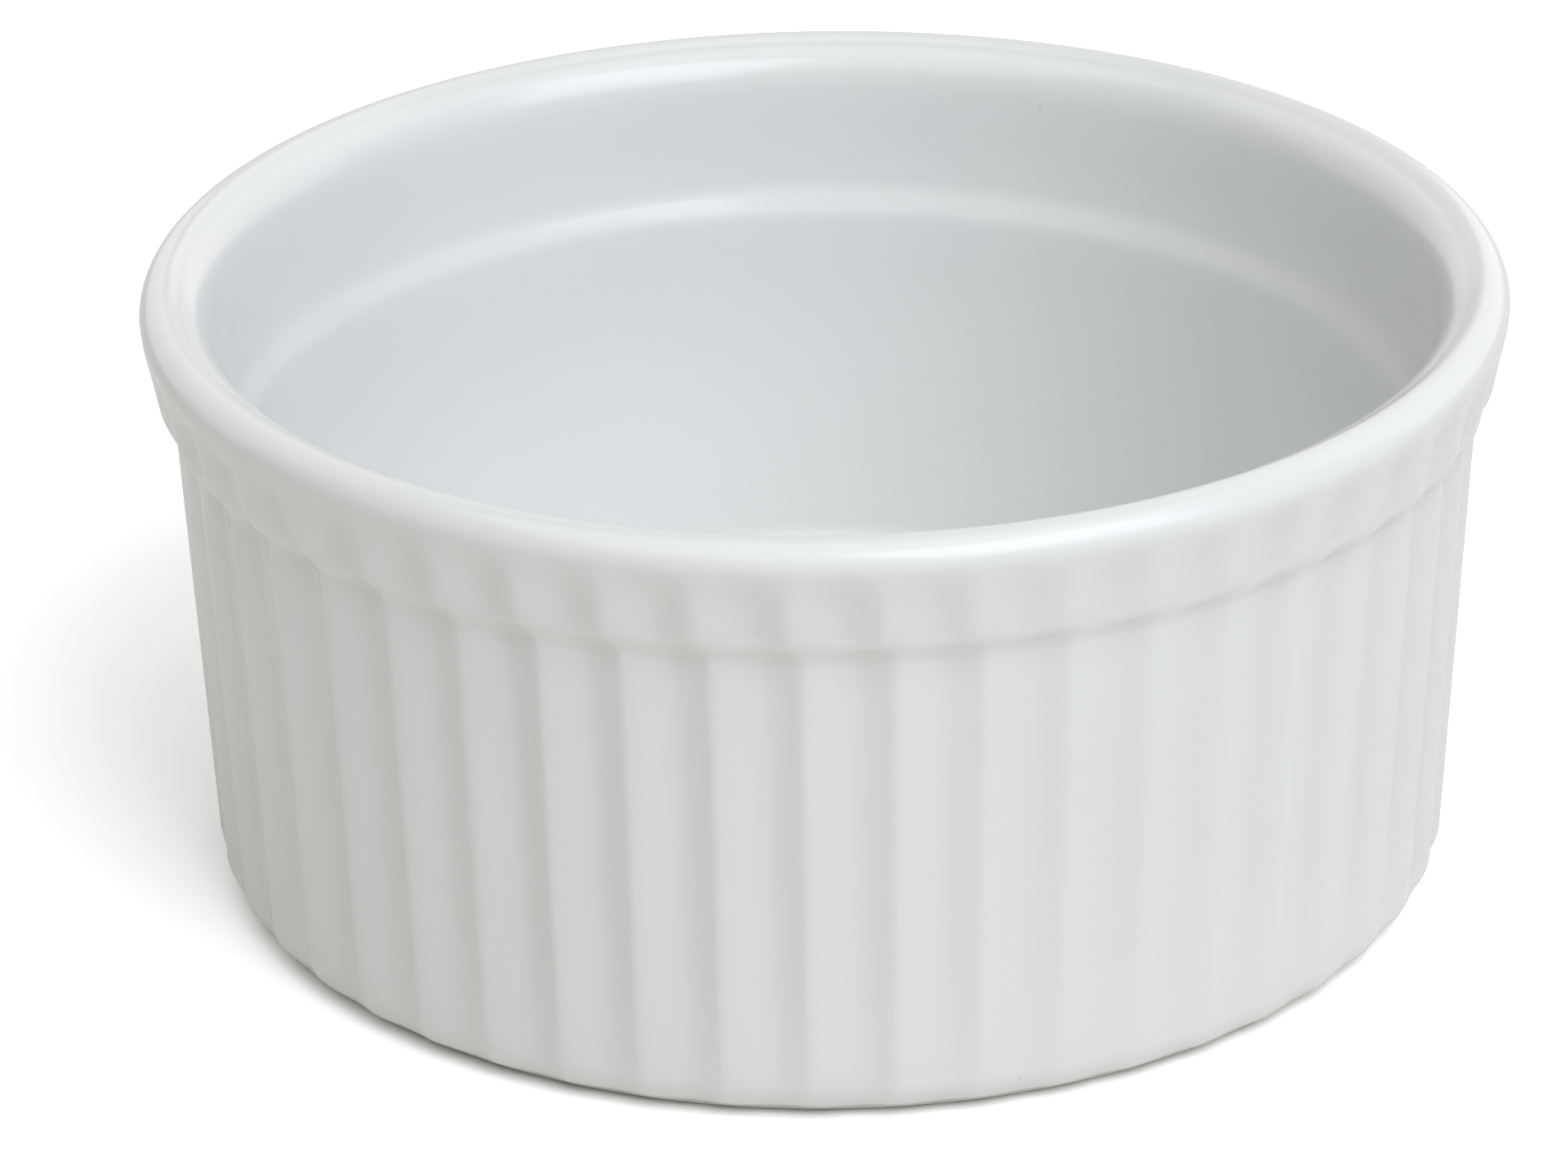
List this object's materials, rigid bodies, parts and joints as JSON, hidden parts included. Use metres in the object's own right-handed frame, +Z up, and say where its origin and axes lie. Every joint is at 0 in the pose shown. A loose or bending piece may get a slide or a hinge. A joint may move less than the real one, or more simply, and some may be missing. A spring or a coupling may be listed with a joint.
{
  "type": "ramekin",
  "caption": "Round pleated porcelain baking cup with a thick rounded rim band, a stacking ledge inside and a bare foot ring.",
  "frame": {"origin": "on the table under the middle of the cup, in the plane of the foot ring", "axes": "+Z up along the cup's axis, -Y towards the picture's viewer, +X to the viewer's right"},
  "size_m": [0.0896, 0.0896, 0.0416],
  "materials": {
    "bare_porcelain": "fired unglazed porcelain, smooth and matt",
    "white_glaze": "clear glossy glaze over white porcelain"
  },
  "bodies": {
    "root": {"porcelain_body": "bare_porcelain", "cup_glaze": "white_glaze", "underside_glaze": "white_glaze"}
  },
  "joints": []
}
